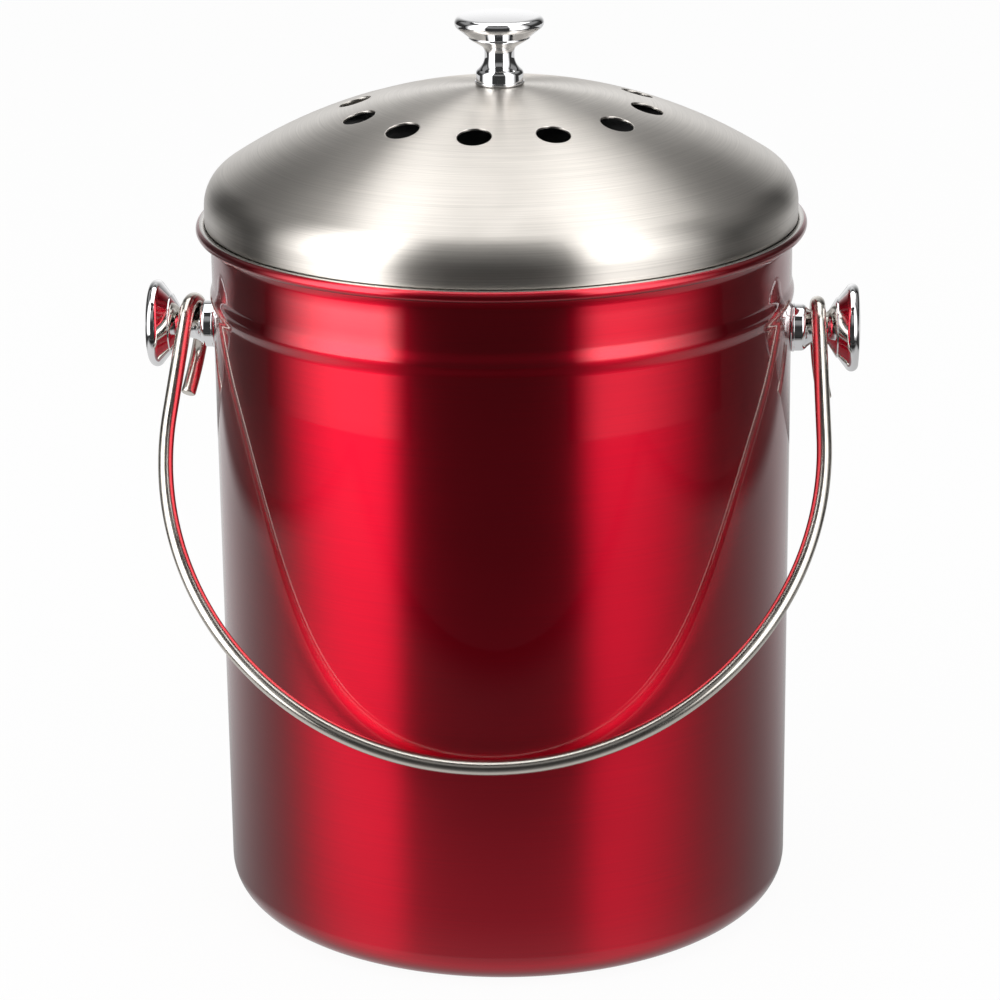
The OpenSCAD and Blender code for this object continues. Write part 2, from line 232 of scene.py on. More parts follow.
# Geometry Nodes: sweeps a round wire along a path; the path's "girth" rounds its ends
def makeWireTree():
    tree, given = newTree("sweptWire", {"Path": "Geometry", "Wire Radius": "Float", "Sides": "Int",
                                        "Material": "Material"})
    curve = addNode(tree, "GeometryNodeMeshToCurve", {"Mesh": given["Path"]})
    tangent = addNode(tree, "GeometryNodeInputTangent").outputs[0]
    marked = storeAttribute(tree, curve.outputs[0], "along", tangent, "FLOAT_VECTOR")
    ring = addNode(tree, "GeometryNodeCurvePrimitiveCircle", {
        "Resolution": given["Sides"], "Radius": given["Wire Radius"]})
    factor = addNode(tree, "GeometryNodeSplineParameter").outputs["Factor"]
    spun = storeAttribute(tree, ring.outputs[0], "spin", factor)
    girth = namedAttribute(tree, "girth")
    sized = addNode(tree, "GeometryNodeSetCurveRadius", {"Curve": marked, "Radius": girth})
    sweep = addNode(tree, "GeometryNodeCurveToMesh", {
        "Curve": sized.outputs[0], "Profile Curve": spun, "Fill Caps": True})
    if "Scale" in sweep.inputs:
        tree.links.new(girth, sweep.inputs["Scale"])
    painted = paintedShape(tree, sweep.outputs[0], given["Material"])
    addNode(tree, "NodeGroupOutput", {"Shape": painted})
    return tree


turnedTree = makeTurnedTree()
aroundTree = makeAroundTree()
wireTree = makeWireTree()
print("stage 2: node trees built")


def newMaterial(name):
    material = bpy.data.materials.new(name)
    material.use_nodes = True
    material.node_tree.nodes.clear()
    return material, material.node_tree


def finishMaterial(material, inputs):
    shader = addNode(material.node_tree, "ShaderNodeBsdfPrincipled", inputs)
    addNode(material.node_tree, "ShaderNodeOutputMaterial", {"Surface": shader.outputs[0]})
    return material


def objectPlace(tree, scale):
    place = addNode(tree, "ShaderNodeTexCoord").outputs["Object"]
    return addVectorMath(tree, "MULTIPLY", place, scale)


def noise(tree, vector, detail=3.0, roughness=0.5):
    item = addNode(tree, "ShaderNodeTexNoise", {
        "Vector": vector, "Scale": 1.0, "Detail": detail, "Roughness": roughness})
    return item.outputs[0]


# Noise in object coordinates, its scale one number or one per axis
def objectNoise(tree, scale, detail=3.0, roughness=0.5):
    scales = scale if isinstance(scale, tuple) else (scale,) * 3
    return noise(tree, objectPlace(tree, scales), detail, roughness)


def mapped(tree, value, low, high, fromLow=0.3, fromHigh=0.7):
    item = addNode(tree, "ShaderNodeMapRange", {
        "Value": value, "From Min": fromLow, "From Max": fromHigh, "To Min": low, "To Max": high})
    return item.outputs[0]


# As mapped, with a soft start and end
def ramp(tree, value, fromLow, fromHigh, low=0.0, high=1.0):
    item = addNode(tree, "ShaderNodeMapRange", {
        "Value": value, "From Min": fromLow, "From Max": fromHigh, "To Min": low, "To Max": high},
        interpolation_type="SMOOTHSTEP")
    return item.outputs[0]


def mixColour(tree, factor, first, second):
    item = addNode(tree, "ShaderNodeMix", {0: factor, 6: first, 7: second}, data_type="RGBA")
    return item.outputs[2]


def bump(tree, height, distance):
    return addNode(tree, "ShaderNodeBump", {"Height": height, "Distance": distance}).outputs[0]


def facing(tree):
    return addNode(tree, "ShaderNodeLayerWeight", {"Blend": 0.5}).outputs["Facing"]


# A direction given in object axes, turned into world axes for the shader
def worldDirection(tree, vector):
    item = addNode(tree, "ShaderNodeVectorTransform", {"Vector": vector},
                   vector_type="VECTOR", convert_from="OBJECT", convert_to="WORLD")
    return item.outputs[0]


lacquerLook = {
    "tint": (0.70, 0.007, 0.029, 1.0), "wornTint": (0.58, 0.009, 0.030, 1.0), "wear": 0.5,
    "roughness": (0.31, 0.335), "anisotropic": 0.98, "coatRoughness": (0.015, 0.05),
    # slant: painted shade, the scale of the colour as the surface turns to a slant
    "smudgeSpan": (0.45, 0.75), "brushDepth": 0.000012, "slant": (0.25, 0.65, 1.0, 0.42),
    "brushScale": (22.0, 22.0, 2200.0), "cloudScale": 26.0, "smudgeScale": (55.0, 55.0, 90.0)}


# Brushed metal under a clear dyed coat, with painted shade: its colour is dimmed evenly where the
# surface is seen at a slant
def makeLacquer():
    look = lacquerLook
    material, tree = newMaterial("redLacquer")
    brush = objectNoise(tree, look["brushScale"], 3.0, 0.6)
    cloud = objectNoise(tree, look["cloudScale"])
    smudge = objectNoise(tree, look["smudgeScale"], 4.0, 0.65)
    colour = mixColour(tree, mapped(tree, brush, 0.0, look["wear"]), look["tint"], look["wornTint"])
    # painted shade: the colour is scaled down from 1.0 to 0.42 where the surface is seen at a slant,
    # darkening the bucket towards its outline
    shade = addNode(tree, "ShaderNodeVectorMath", {
        0: colour, "Scale": ramp(tree, facing(tree), *look["slant"])}, operation="SCALE")
    return finishMaterial(material, {
        "Base Color": shade.outputs[0], "Metallic": 1.0,
        "Roughness": mapped(tree, cloud, *look["roughness"]), "Anisotropic": look["anisotropic"],
        "Tangent": worldDirection(tree, (0.0, 0.0, 1.0)), "Coat Weight": 1.0, "Coat IOR": 1.5,
        "Coat Roughness": mapped(tree, smudge, *look["coatRoughness"], *look["smudgeSpan"]),
        "Normal": bump(tree, brush, look["brushDepth"])})


steelLook = {
    "tint": (0.75, 0.71, 0.66, 1.0), "darkTint": (0.56, 0.53, 0.49, 1.0),
    "roughness": (0.31, 0.38), "anisotropic": 0.92, "brushDepth": 0.000016}
steelBrush = {"around": (1.6, 1.6, 0.0), "across": 2600.0, "cloudScale": 35.0, "wear": 0.7}


# Brushed steel whose scratches run round the Z axis
def makeSteel(name, look):
    material, tree = newMaterial(name)
    place = addNode(tree, "ShaderNodeTexCoord").outputs["Object"]
    flat = addVectorMath(tree, "MULTIPLY", place, (1.0, 1.0, 0.0))
    radius = addNode(tree, "ShaderNodeVectorMath", {0: flat}, operation="LENGTH").outputs["Value"]
    height = addNode(tree, "ShaderNodeSeparateXYZ", {"Vector": place}).outputs["Z"]
    across = addMath(tree, "MULTIPLY", addMath(tree, "SUBTRACT", radius, height), steelBrush["across"])
    lift = addNode(tree, "ShaderNodeCombineXYZ", {"Z": across}).outputs[0]
    way = addVectorMath(tree, "MULTIPLY", addVectorMath(tree, "NORMALIZE", flat), steelBrush["around"])
    brush = noise(tree, addVectorMath(tree, "ADD", way, lift), 3.0, 0.65)
    cloud = objectNoise(tree, steelBrush["cloudScale"])
    wear = mapped(tree, brush, 0.0, steelBrush["wear"])
    return finishMaterial(material, {
        "Base Color": mixColour(tree, wear, look["tint"], look["darkTint"]), "Metallic": 1.0,
        "Roughness": mapped(tree, cloud, *look["roughness"]), "Anisotropic": look["anisotropic"],
        "Tangent": worldDirection(tree, (0.0, 0.0, 1.0)),
        "Normal": bump(tree, brush, look["brushDepth"])})


innerSteelLook = {
    "tint": (0.72, 0.70, 0.67, 1.0), "darkTint": (0.58, 0.565, 0.54, 1.0),
    "roughness": (0.22, 0.34), "anisotropic": 0.5, "brushDepth": 0.000006}
ringSteelLook = {
    "tint": (0.74, 0.71, 0.67, 1.0), "darkTint": (0.62, 0.60, 0.56, 1.0),
    "roughness": (0.24, 0.34), "anisotropic": 0.5, "brushDepth": 0.000006}

chromeLook = {
    "tint": (0.90, 0.90, 0.91, 1.0), "wornTint": (0.80, 0.80, 0.81, 1.0), "wear": 0.4,
    "wearSpan": (0.55, 0.8), "roughness": (0.03, 0.07), "waviness": 0.00002,
    "hazeScale": 240.0, "speckScale": 1500.0}


def makeChrome():
    look = chromeLook
    material, tree = newMaterial("polishedChrome")
    haze = objectNoise(tree, look["hazeScale"], 3.0, 0.6)
    specks = objectNoise(tree, look["speckScale"], 2.0)
    wear = mapped(tree, specks, 0.0, look["wear"], *look["wearSpan"])
    return finishMaterial(material, {
        "Base Color": mixColour(tree, wear, look["tint"], look["wornTint"]), "Metallic": 1.0,
        "Roughness": mapped(tree, haze, *look["roughness"]),
        "Normal": bump(tree, haze, look["waviness"])})


wireLook = {
    "tint": (0.76, 0.715, 0.65, 1.0), "darkTint": (0.62, 0.585, 0.53, 1.0), "wear": 0.6,
    "roughness": (0.15, 0.23), "anisotropic": 0.7, "drawDepth": 0.000002,
    "lineScale": 14.0, "driftScale": 12.0, "hazeScale": 160.0}


# Drawn wire: fine lines run along it
def makeWire():
    look = wireLook
    material, tree = newMaterial("drawnWire")
    spin = addNode(tree, "ShaderNodeAttribute", attribute_name="spin").outputs["Fac"]
    turn = addMath(tree, "MULTIPLY", spin, 2 * math.pi)
    ringPlace = addNode(tree, "ShaderNodeCombineXYZ", {
        "X": addMath(tree, "COSINE", turn), "Y": addMath(tree, "SINE", turn), "Z": 0.0})
    lines = addVectorMath(tree, "MULTIPLY", ringPlace.outputs[0], (look["lineScale"],) * 3)
    drift = objectPlace(tree, (look["driftScale"],) * 3)
    streak = noise(tree, addVectorMath(tree, "ADD", lines, drift), 3.0, 0.6)
    haze = objectNoise(tree, look["hazeScale"])
    along = addNode(tree, "ShaderNodeAttribute", attribute_name="along").outputs["Vector"]
    wear = mapped(tree, streak, 0.0, look["wear"])
    return finishMaterial(material, {
        "Base Color": mixColour(tree, wear, look["tint"], look["darkTint"]), "Metallic": 1.0,
        "Roughness": mapped(tree, haze, *look["roughness"]), "Anisotropic": look["anisotropic"],
        "Anisotropic Rotation": 0.25, "Tangent": worldDirection(tree, along),
        "Normal": bump(tree, streak, look["drawDepth"])})


zincLook = {
    "tint": (0.62, 0.61, 0.59, 1.0), "darkTint": (0.42, 0.42, 0.41, 1.0), "wear": 0.8,
    "roughness": (0.28, 0.48), "grainDepth": 0.00001, "grainScale": 900.0, "cloudScale": 180.0}


def makeZinc():
    look = zincLook
    material, tree = newMaterial("zincPlate")
    grain = objectNoise(tree, look["grainScale"], 3.0, 0.6)
    cloud = objectNoise(tree, look["cloudScale"], 2.0)
    wear = mapped(tree, cloud, 0.0, look["wear"])
    return finishMaterial(material, {
        "Base Color": mixColour(tree, wear, look["tint"], look["darkTint"]), "Metallic": 1.0,
        "Roughness": mapped(tree, grain, *look["roughness"]),
        "Normal": bump(tree, grain, look["grainDepth"])})


plasticLook = {
    "tint": (0.030, 0.031, 0.033, 1.0), "dustTint": (0.075, 0.072, 0.066, 1.0),
    "roughness": (0.42, 0.60), "grainDepth": 0.00003, "grainScale": 1400.0, "cloudScale": 60.0}
feltLook = {
    "tint": (0.016, 0.016, 0.017, 1.0), "dustTint": (0.050, 0.049, 0.047, 1.0),
    "roughness": (0.88, 1.0), "grainDepth": 0.0004, "grainScale": 900.0, "cloudScale": 60.0}


# Matte dark material with a grain: moulded plastic or carbon felt
def makeMatte(name, look):
    material, tree = newMaterial(name)
    grain = objectNoise(tree, look["grainScale"], 5.0, 0.65)
    cloud = objectNoise(tree, look["cloudScale"])
    dust = addMath(tree, "MULTIPLY", mapped(tree, cloud, 0.0, 1.0), mapped(tree, grain, 0.0, 1.0))
    return finishMaterial(material, {
        "Base Color": mixColour(tree, dust, look["tint"], look["dustTint"]),
        "Roughness": mapped(tree, grain, *look["roughness"]),
        "Normal": bump(tree, grain, look["grainDepth"])})


lacquer = makeLacquer()
lidSteel = makeSteel("brushedSteel", steelLook)
innerSteel = makeSteel("innerSteel", innerSteelLook)
ringSteel = makeSteel("ringSteel", ringSteelLook)
chrome = makeChrome()
wire = makeWire()
zinc = makeZinc()
plastic = makeMatte("mouldedPlastic", plasticLook)
felt = makeMatte("carbonFelt", feltLook)
print("stage 3: materials built")


# Finishes a piece: its body and the CAD nodes it stands for
def settle(piece, body, slot, *replaced):
    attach(piece, body)
    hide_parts(*replaced)
    print("piece", piece.name, len(piece.data.polygons), "faces")


# Bucket: base, corner, wall, bead, flare and an open roll of sheet, then the inner skin
bucketShape = {
    "radius": 89.0 * mm, "sheet": 0.8 * mm, "cornerRadius": 10.3 * mm, "rollOut": 2.65 * mm,
    "rollRadius": 1.75 * mm, "flareHeight": 4.2 * mm, "beadDrop": 22.7 * mm,
    "beadHalf": 4.3 * mm, "beadOut": 0.75 * mm, "beadSteps": 20, "slitAngle": -145.0,
    "bareFrom": 66.0, "flareLead": -0.6 * mm, "flareStart": 0.05 * mm,
    "flareBend": (0.55 * mm, 1.6 * mm), "steps": 240}


def makeBucket():
    shape = bucketShape
    radius = shape["radius"]
    sheet = shape["sheet"]
    corner = shape["cornerRadius"]
    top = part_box("bucket")[1].z
    rollX = radius + shape["rollOut"]
    rollZ = top - shape["rollRadius"]
    tube = shape["rollRadius"]
    flareLow = rollZ - shape["flareHeight"]
    beadZ = top - shape["beadDrop"]

    def flareFrom(base):
        bendOut, bendUp = shape["flareBend"]
        return [(base + shape["flareStart"], flareLow), (base + bendOut, flareLow + bendUp)]

    def bead(base, way):
        count = shape["beadSteps"]
        rows = [way * (2.0 * i / count - 1.0) for i in range(count + 1)]
        return [(base + shape["beadOut"] * 0.5 * (1 + math.cos(math.pi * t)),
                 beadZ + shape["beadHalf"] * t) for t in rows]

    outside = [(0.0, 0.0)] + lineTo((0.0, 0.0), (radius - corner, 0.0), 6)
    outside += arc(radius - corner, corner, corner, -90, 0, 14)
    outside += lineTo((radius, corner), (radius, beadZ - shape["beadHalf"]), 12)
    outside += bead(radius, 1.0)
    leadZ = flareLow + shape["flareLead"]
    outside += lineTo((radius, beadZ + shape["beadHalf"]), (radius, leadZ), 4)
    outside += flareFrom(radius)
    outside += arc(rollX, rollZ, tube - sheet, 180, shape["slitAngle"], 22)
    outside += arc(rollX, rollZ, tube, shape["slitAngle"], shape["bareFrom"], 28)
    inner = radius - sheet
    inside = arc(rollX, rollZ, tube, shape["bareFrom"], 180, 14)
    inside += reversed(flareFrom(inner))
    inside += lineTo((inner, leadZ), (inner, beadZ + shape["beadHalf"]), 4)
    inside += bead(inner, -1.0)
    inside += lineTo((inner, beadZ - shape["beadHalf"]), (inner, corner), 12)
    inside += arc(radius - corner, corner, corner - sheet, 0, -90, 14)
    inside += lineTo((radius - corner, sheet), (0.0, sheet), 6)
    points = distinct(outside + inside)
    count = len(distinct(outside))
    source = profileMesh("bucketProfile", points, count - 1)
    piece = bakeTree("bucketVisual", source, turnedTree, {
        "Steps Around": shape["steps"], "Outer Material": lacquer, "Inner Material": innerSteel}, 60.0)
    settle(piece, "pail", "bucket_lacquer", "bucket")


makeBucket()


# Lid: a crown with punched vents, a rounded shoulder and an upright skirt
lidShape = {
    "sheet": 0.8 * mm, "crownRadius": 155.501 * mm, "shoulderRadius": 12.05 * mm, "skirt": 5.1 * mm,
    "ventRadius": 5.05 * mm, "ventRing": 45.0 * mm, "ventCount": 12, "ventTurn": 24.0,
    "ventRound": 0.25 * mm, "holeRadius": 2.7 * mm, "blockHalf": 11.0 * mm, "edgeRound": 0.25 * mm,
    "columns": 12, "blockRows": 10, "domeRows": 8, "shoulderRows": 14, "skirtRows": 3, "edgeRows": 4,
    "ringShares": (0.0, 0.14, 0.28, 0.42, 0.55, 0.67, 0.77, 0.86, 0.93, 0.975, 1.0)}


def makeLid():
    shape = lidShape
    low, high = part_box("lid_shell")
    crown = shape["crownRadius"]
    centre = high.z - crown
    sheet = shape["sheet"]
    edge = shape["edgeRound"]
    outerR = high.x
    shoulderX = outerR - shape["shoulderRadius"]
    shoulderZ = low.z + shape["skirt"]
    tilt = math.degrees(math.atan2(shoulderZ - centre, shoulderX))
    half = math.pi / shape["ventCount"]
    lean = math.asin(shape["ventRing"] / crown)
    block = shape["blockHalf"] / crown
    points = []
    faces = []

    def addRow(row):
        first = len(points)
        points.extend(row)
        return list(range(first, first + len(row)))

    def bridge(rowA, rowB):
        for i in range(len(rowA) - 1):
            faces.append((rowA[i], rowA[i + 1], rowB[i + 1], rowB[i]))

    def onSphere(depth, polar, around):
        r = (crown - depth) * math.sin(polar)
        return Vector((r * math.cos(around), r * math.sin(around),
                       centre + (crown - depth) * math.cos(polar)))

    def turnedRow(radius, height):
        return [Vector((radius * math.cos(t), radius * math.sin(t), height)) for t in turns]

    columns = shape["columns"]
    rows = shape["blockRows"]
    steps = shape["domeRows"]
    edgeRows = shape["edgeRows"]
    quarter = [math.pi / 2 * i / edgeRows for i in range(edgeRows + 1)]
    turns = [half * (2.0 * i / columns - 1.0) for i in range(columns + 1)]

    # inner cap from the screw hole to the vent block, seen as polar angles
    def capRows(depth):
        first = math.asin((shape["holeRadius"] + edge) / crown)
        return [[onSphere(depth, first + (lean - block - first) * i / steps, t) for t in turns]
                for i in range(steps + 1)]

    # crown beyond the block, then the shoulder and the skirt
    def rimRows(depth, finish):
        last = math.radians(90.0 - tilt)
        result = [[onSphere(depth, lean + block + (last - lean - block) * i / steps, t) for t in turns]
                  for i in range(steps)]
        for x, z in arc(shoulderX, shoulderZ, shape["shoulderRadius"] - depth, tilt, 0,
                        shape["shoulderRows"]):
            result.append(turnedRow(x, z))
        for x, z in lineTo((outerR - depth, shoulderZ), (outerR - depth, finish), shape["skirtRows"]):
            result.append(turnedRow(x, z))
        return result

    outerCap = capRows(0.0)
    innerCap = capRows(sheet)
    hole = shape["holeRadius"]
    rimOfHole = [turnedRow(hole + edge - edge * math.sin(t),
                           outerCap[0][0].z - edge + edge * math.cos(t)) for t in quarter]
    rimOfHole += [turnedRow(hole + edge - edge * math.sin(t),
                            innerCap[0][0].z + edge - edge * math.cos(t)) for t in reversed(quarter)]
    capLoop = list(reversed(outerCap)) + rimOfHole + innerCap
    capIndices = [addRow(row) for row in capLoop]
    for a, b in zip(capIndices, capIndices[1:]):
        bridge(a, b)

    outerRim = rimRows(0.0, low.z + edge)
    innerRim = rimRows(sheet, low.z + edge)
    lip = [turnedRow(outerR - edge + edge * math.cos(t), low.z + edge - edge * math.sin(t))
           for t in quarter[1:]]
    lip += [turnedRow(outerR - sheet + edge - edge * math.sin(t), low.z + edge - edge * math.cos(t))
            for t in quarter]
    rimLoop = outerRim + lip + list(reversed(innerRim))
    rimIndices = [addRow(row) for row in rimLoop]
    for a, b in zip(rimIndices, rimIndices[1:]):
        bridge(b, a)

    # the block round one vent: rings from a square-sided border to the punched hole
    axis = Vector((math.sin(lean), 0.0, math.cos(lean)))
    sideX = Vector((math.cos(lean), 0.0, -math.sin(lean)))
    sideY = Vector((0.0, 1.0, 0.0))
    border = [(lean - block, t) for t in turns[:-1]]
    border += [(lean - block + 2 * block * i / rows, turns[-1]) for i in range(rows)]
    border += [(lean + block, t) for t in reversed(turns[1:])]
    border += [(lean + block - 2 * block * i / rows, turns[0]) for i in range(rows)]
    borderWays = [onSphere(0.0, p, t) - Vector((0.0, 0.0, centre)) for p, t in border]
    borderWays = [v.normalized() for v in borderWays]
    angles = [math.atan2(v.dot(sideY), v.dot(sideX)) for v in borderWays]
    vent = shape["ventRadius"]
    soft = shape["ventRound"]

    def holeWay(angle, radius, depth):
        out = crown - depth
        flat = sideX * math.cos(angle) + sideY * math.sin(angle)
        return (flat * radius + axis * math.sqrt(out * out - radius * radius)) / out

    def ringRow(depth, share):
        result = []
        for way, angle in zip(borderWays, angles):
            near = holeWay(angle, vent + soft, depth)
            mixed = (way * (1 - share) + near * share).normalized()
            result.append(mixed * (crown - depth) + Vector((0.0, 0.0, centre)))
        return result

    def edgeRow(radius, depth):
        base = math.sqrt((crown - depth) ** 2 - vent * vent)
        return [sideX * math.cos(a) * radius + sideY * math.sin(a) * radius + axis * base
                + Vector((0.0, 0.0, centre)) for a in angles]

    shares = shape["ringShares"]
    loop = [ringRow(0.0, s) for s in shares]
    loop += [edgeRow(vent + soft - soft * math.sin(t), soft - soft * math.cos(t)) for t in quarter[1:]]
    loop += [edgeRow(vent + soft - soft * math.sin(t), sheet - soft + soft * math.cos(t))
             for t in reversed(quarter[1:])]
    loop += [ringRow(sheet, s) for s in reversed(shares)]
    loopIndices = [addRow(row) for row in loop]
    for a, b in zip(loopIndices, loopIndices[1:]):
        for i in range(len(a)):
            j = (i + 1) % len(a)
            faces.append((a[i], a[j], b[j], b[i]))

    start = math.radians(shape["ventTurn"] - 90.0)
    spin = Matrix.Rotation(start, 3, "Z")
    source = meshFrom("lidSector", [spin @ Vector(p) for p in points], faces)
    piece = bakeTree("lidVisual", source, aroundTree, {
        "Count": shape["ventCount"], "Material": lidSteel}, 50.0)
    settle(piece, "lid", "lid_steel", "lid_shell")


makeLid()


# Locating ring under the lid
ringShape = {"sheet": 0.8 * mm, "lip": 3.0 * mm, "bend": 0.6 * mm, "edge": 0.2 * mm, "steps": 192}


def makeRing():
    shape = ringShape
    low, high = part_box("lid_ring")
    outer = high.x
    sheet = shape["sheet"]
    bend = shape["bend"]
    lip = outer - shape["lip"]
    edge = shape["edge"]
    points = [(outer, high.z - edge)] + lineTo((outer, high.z - edge), (outer, low.z + bend), 8)
    points += arc(outer - bend, low.z + bend, bend, 0, -90, 6)
    points += arc(lip + edge, low.z + edge, edge, -90, -180, 4)
    points += arc(lip + edge, low.z + sheet - edge, edge, 180, 90, 4)
    points += arc(outer - sheet - bend, low.z + sheet + bend, bend, -90, 0, 6)
    points += lineTo((outer - sheet, low.z + sheet + bend), (outer - sheet, high.z - edge), 8)
    points += arc(outer - sheet + edge, high.z - edge, edge, 180, 90, 4)
    points += arc(outer - edge, high.z - edge, edge, 90, 0, 4)
    source = profileMesh("ringProfile", distinct(points))
    piece = bakeTree("ringVisual", source, turnedTree, {
        "Steps Around": shape["steps"], "Outer Material": ringSteel, "Inner Material": ringSteel}, 50.0)
    settle(piece, "lid", "ring_steel", "lid_ring")


makeRing()


# Knobs: one turned profile, stood on the lid and on both sides of the bucket
knobShape = {
    "radius": 13.5 * mm, "edge": 2.0 * mm, "crown": 0.6 * mm, "neck": 4.5 * mm,
    "neckAt": 8.5 * mm, "neckHeight": 1.2 * mm, "foot": 7.5 * mm, "footHeight": 0.9 * mm,
    "footOut": 0.3 * mm, "footLip": 0.05 * mm, "baseHeight": 3.0 * mm, "baseRound": 1.8 * mm,
    "flareRadius": 2.2 * mm, "flareAngle": 59.0, "stepRadius": 9.3 * mm, "stepHeight": 0.3 * mm,
    "stepIn": 0.2 * mm, "stepEase": 0.1 * mm, "stepLift": 0.9, "stepFrom": -40.0,
    "edgeAngles": (-60.0, 80.0), "height": 21.1 * mm, "boreDepth": 10.0 * mm, "ease": 0.18 * mm,
    "lidBore": 2.55 * mm, "sideBore": 1.8 * mm, "steps": 112}


def knobProfile(bore):
    shape = knobShape
    ease = shape["ease"]
    stepEase = shape["stepEase"]
    base = shape["foot"] - shape["footOut"]
    baseX = base - shape["baseRound"]
    rise = shape["neckAt"] - shape["baseHeight"]
    cove = ((rise ** 2 + (baseX - shape["neck"]) ** 2 - shape["baseRound"] ** 2)
            / (2 * (shape["baseRound"] + baseX - shape["neck"])))
    coveX = shape["neck"] + cove
    coveAngle = math.degrees(math.atan2(rise, coveX - baseX))
    neckTop = shape["neckAt"] + shape["neckHeight"]
    flare = shape["flareRadius"]
    lean = math.radians(shape["flareAngle"])
    coneX = shape["neck"] + flare * (1 - math.cos(lean))
    coneZ = neckTop + flare * math.sin(lean)
    stepZ = coneZ + (shape["stepRadius"] - coneX) / math.tan(lean)
    stepTop = stepZ + shape["stepHeight"]
    edge = shape["edge"]
    edgeX = shape["radius"] - edge
    edgeFrom, edgeTo = shape["edgeAngles"]
    edgeZ = shape["height"] - shape["crown"] - edge * math.sin(math.radians(edgeTo))
    crownX = edgeX + edge * math.cos(math.radians(edgeTo))
    cap = (crownX ** 2 + shape["crown"] ** 2) / (2 * shape["crown"])
    capAngle = math.degrees(math.asin(crownX / cap))
    points = [(0.0, shape["boreDepth"]), (bore, shape["boreDepth"]), (bore, 0.0)]
    points += lineTo(points[-1], (shape["foot"] - ease, 0.0), 3)
    points += arc(shape["foot"] - ease, ease, ease, -90, 0, 4)
    points += arc(shape["foot"] - ease, shape["footHeight"] - ease, ease, 0, 90, 4)
    points += [(base + shape["footLip"], shape["footHeight"])]
    points += arc(baseX, shape["baseHeight"], shape["baseRound"], 0, coveAngle, 10)
    points += arc(coveX, shape["neckAt"], cove, 180 + coveAngle, 180, 18)
    points += arc(shape["neck"] + flare, neckTop, flare, 180, 180 - shape["flareAngle"], 12)
    stepX = shape["stepRadius"] - stepEase
    points += lineTo((coneX, coneZ), (stepX, stepZ - stepEase / math.tan(lean)), 5)
    points += arc(stepX, stepZ + stepEase * shape["stepLift"], stepEase, shape["stepFrom"], 0, 4)
    points += arc(stepX, stepTop - stepEase, stepEase, 0, 90, 4)
    points += [(shape["stepRadius"] - shape["stepIn"], stepTop)]
    points += arc(edgeX, edgeZ, edge, edgeFrom, edgeTo, 30)
    points += arc(0.0, shape["height"] - cap, cap, 90 - capAngle, 90, 16)
    return distinct(points)


def makeKnob(name, body, node, place, bore):
    source = profileMesh(name + "Profile", knobProfile(bore))
    piece = bakeTree(name, source, turnedTree, {
        "Steps Around": knobShape["steps"], "Outer Material": chrome, "Inner Material": chrome}, 55.0)
    piece.data.transform(place)
    settle(piece, body, "knob_chrome", node)


pivotZ = 0.5 * (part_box("right_pivot_knob")[0].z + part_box("right_pivot_knob")[1].z)
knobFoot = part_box("right_pivot_knob")[0].x
makeKnob("lidKnobVisual", "lid", "lid_knob",
         Matrix.Translation((0.0, 0.0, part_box("lid_knob")[0].z)), knobShape["lidBore"])
for side, way in (("right", 1), ("left", -1)):
    makeKnob(side + "KnobVisual", "pail", side + "_pivot_knob",
             Matrix.Translation((way * knobFoot, 0.0, pivotZ))
             @ Matrix.Rotation(math.radians(way * 90), 4, "Y"), knobShape["sideBore"])


# Bail: one wire with two hooks, legs that spread a little and a round bow
bailShape = {
    "wire": 2.3 * mm, "bow": 100.1 * mm, "bowDrop": 42.7 * mm, "spread": {1: 2.4, -1: 5.5},
    "shift": -1.1 * mm, "lean": 36.81, "hook": 8.6 * mm, "hookBack": 1.1 * mm, "hookLow": 0.85 * mm,
    "turn": {1: 0.0, -1: 8.0}, "curve": {1: 130.0 * mm, -1: 150.0 * mm}, "tail": 19.0 * mm,
    "endRound": 0.55 * mm, "endSteps": (0.0, 0.25, 0.5, 0.7, 0.85, 0.95, 1.0),
    "legSteps": 14, "hookSteps": 36, "tailSteps": 16, "bowSteps": 150, "sides": 28}


def bailSide(side):
    shape = bailShape
    spread = math.radians(shape["spread"][side])
    bow = shape["bow"]
    start = Vector((bow * math.cos(spread), 0.0, -shape["bowDrop"] + bow * math.sin(spread)))
    up = Vector((-math.sin(spread), 0.0, math.cos(spread)))
    legLength = (-shape["hookLow"] - start.z) / up.z
    legSteps = shape["legSteps"]
    points = [start + up * (legLength * i / legSteps) for i in range(legSteps + 1)]
    top = points[-1]
    turn = math.radians(shape["turn"][side])
    back = Matrix.Rotation(turn, 3, up) @ Vector((0.0, 1.0, 0.0))
    out = back.cross(up)
    hook = shape["hook"]
    for i in range(1, shape["hookSteps"] + 1):
        t = math.pi * i / shape["hookSteps"]
        points.append(top + back * (hook - hook * math.cos(t)) + up * (hook * math.sin(t)))
    base = points[-1]
    curve = shape["curve"][side]
    tail = shape["tail"]
    ends = [tail * i / shape["tailSteps"] for i in range(1, shape["tailSteps"])]
    ends += [tail - shape["endRound"] * (1 - k) for k in shape["endSteps"]]
    for run in sorted(ends):
        t = run / curve
        points.append(base + out * (curve - curve * math.cos(t)) - up * (curve * math.sin(t)))
    return [Vector((side * p.x, p.y, p.z)) for p in points]


